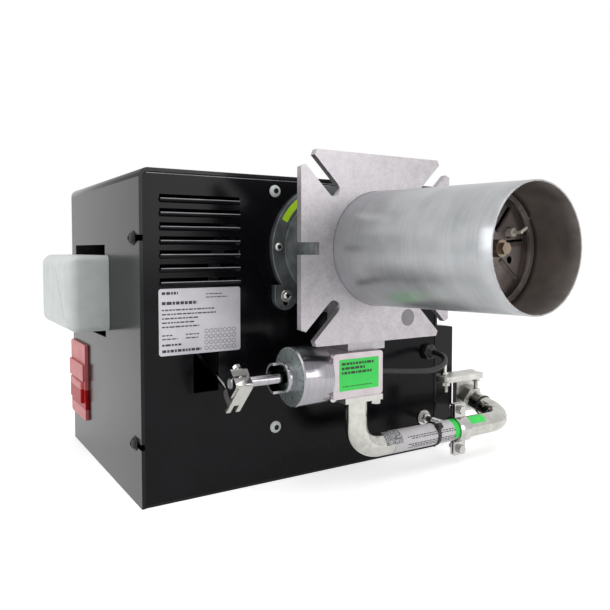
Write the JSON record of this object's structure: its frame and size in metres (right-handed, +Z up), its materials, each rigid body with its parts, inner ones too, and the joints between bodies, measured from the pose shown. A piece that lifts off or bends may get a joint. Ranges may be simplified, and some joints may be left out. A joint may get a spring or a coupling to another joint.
{
  "type": "gas burner",
  "caption": "Boxed industrial gas burner with a tapered blast tube, slotted boiler flange, butterfly gas valve worked by a lever and rod, and a bent gas pipe.",
  "frame": {"origin": "centre of the mounting flange face that meets the boiler, on the blast tube axis", "axes": "+Z up, the blast tube points to -Y, +X to the right when the burner is seen from the boiler"},
  "size_m": [0.5631, 0.6475, 0.382],
  "materials": {
    "black_paint": "satin",
    "galvanised": "satin",
    "steel_bright": "polished",
    "cast_aluminium": "satin",
    "brass": "satin",
    "black_plastic": "matte",
    "grey_plastic": "matte",
    "red_plastic": "gloss",
    "ceramic": "matte"
  },
  "bodies": {
    "burner": {"base_plate": "black_paint", "blast_tube": "galvanised", "cable_gland": "black_plastic", "cable_tie": "black_plastic", "casing_cover": "black_paint", "clamp_bolt_1": "steel_bright", "clamp_bolt_2": "steel_bright", "clamp_stud": "steel_bright", "control_box": "black_plastic", "diffuser_disc": "galvanised", "diffuser_ring": "galvanised", "electrode_1": "ceramic", "electrode_2": "ceramic", "electrode_3": "ceramic", "fan_motor": "cast_aluminium", "fan_scroll": "black_paint", "flange_bolt_1": "steel_bright", "flange_bolt_2": "steel_bright", "flange_plug": "grey_plastic", "front_panel": "black_paint", "gas_head": "brass", "gas_pipe": "galvanised", "gas_tube": "galvanised", "head_housing": "cast_aluminium", "inlet_bolt_1": "steel_bright", "inlet_bolt_2": "steel_bright", "inlet_flange": "cast_aluminium", "lead_plug": "black_plastic", "mounting_flange": "galvanised", "neck_block": "cast_aluminium", "pipe_clamp_back": "galvanised", "pipe_clamp_front": "galvanised", "pipe_flange": "steel_bright", "pressure_switch": "grey_plastic", "reset_lens": "red_plastic", "servo_motor": "black_paint", "side_enclosure": "black_paint", "stop_collar": "steel_bright", "switch_bracket": "galvanised", "test_nipple": "brass", "union_nut": "steel_bright", "valve_body": "cast_aluminium", "valve_drum": "steel_bright", "valve_lead": "black_plastic"},
    "throttle": {"valve_shaft": "steel_bright", "butterfly_disc": "steel_bright", "lever_clamp": "galvanised", "clamp_screw": "steel_bright", "lever_arm": "galvanised"},
    "crank": {"servo_crank": "steel_bright"},
    "rod": {"linkage_rod": "steel_bright"},
    "reset": {"reset_button": "red_plastic"},
    "fan": {"fan_wheel": "cast_aluminium", "motor_shaft": "steel_bright"}
  },
  "joints": [
    {"name": "servo_turn", "type": "hinge", "parent": "burner", "child": "crank", "pos_m": [-0.1515, 0.167, -0.098], "axis": [1, 0, 0], "range_deg": [-45, 45]},
    {"name": "rod_pivot", "type": "hinge", "parent": "crank", "child": "rod", "pos_m": [-0.1515, 0.186, -0.113], "axis": [1, 0, 0], "range_deg": [-45, 45]},
    {"name": "throttle_turn", "type": "hinge", "parent": "burner", "child": "throttle", "pos_m": [-0.1515, 0.045, -0.14], "axis": [1, 0, 0], "range_deg": [-45, 45]},
    {"name": "reset_press", "type": "slide", "parent": "burner", "child": "reset", "axis": [1, 0, 0], "range_m": [0, 0.004], "stiffness_N_per_m": 600},
    {"name": "fan_spin", "type": "hinge", "parent": "burner", "child": "fan", "pos_m": [0, 0.29, -0.05], "axis": [1, 0, 0], "continuous": true}
  ],
  "couplings": [
    {"joint": "throttle_turn", "follows": "servo_turn", "ratio": 1},
    {"joint": "rod_pivot", "follows": "servo_turn", "ratio": -1}
  ]
}
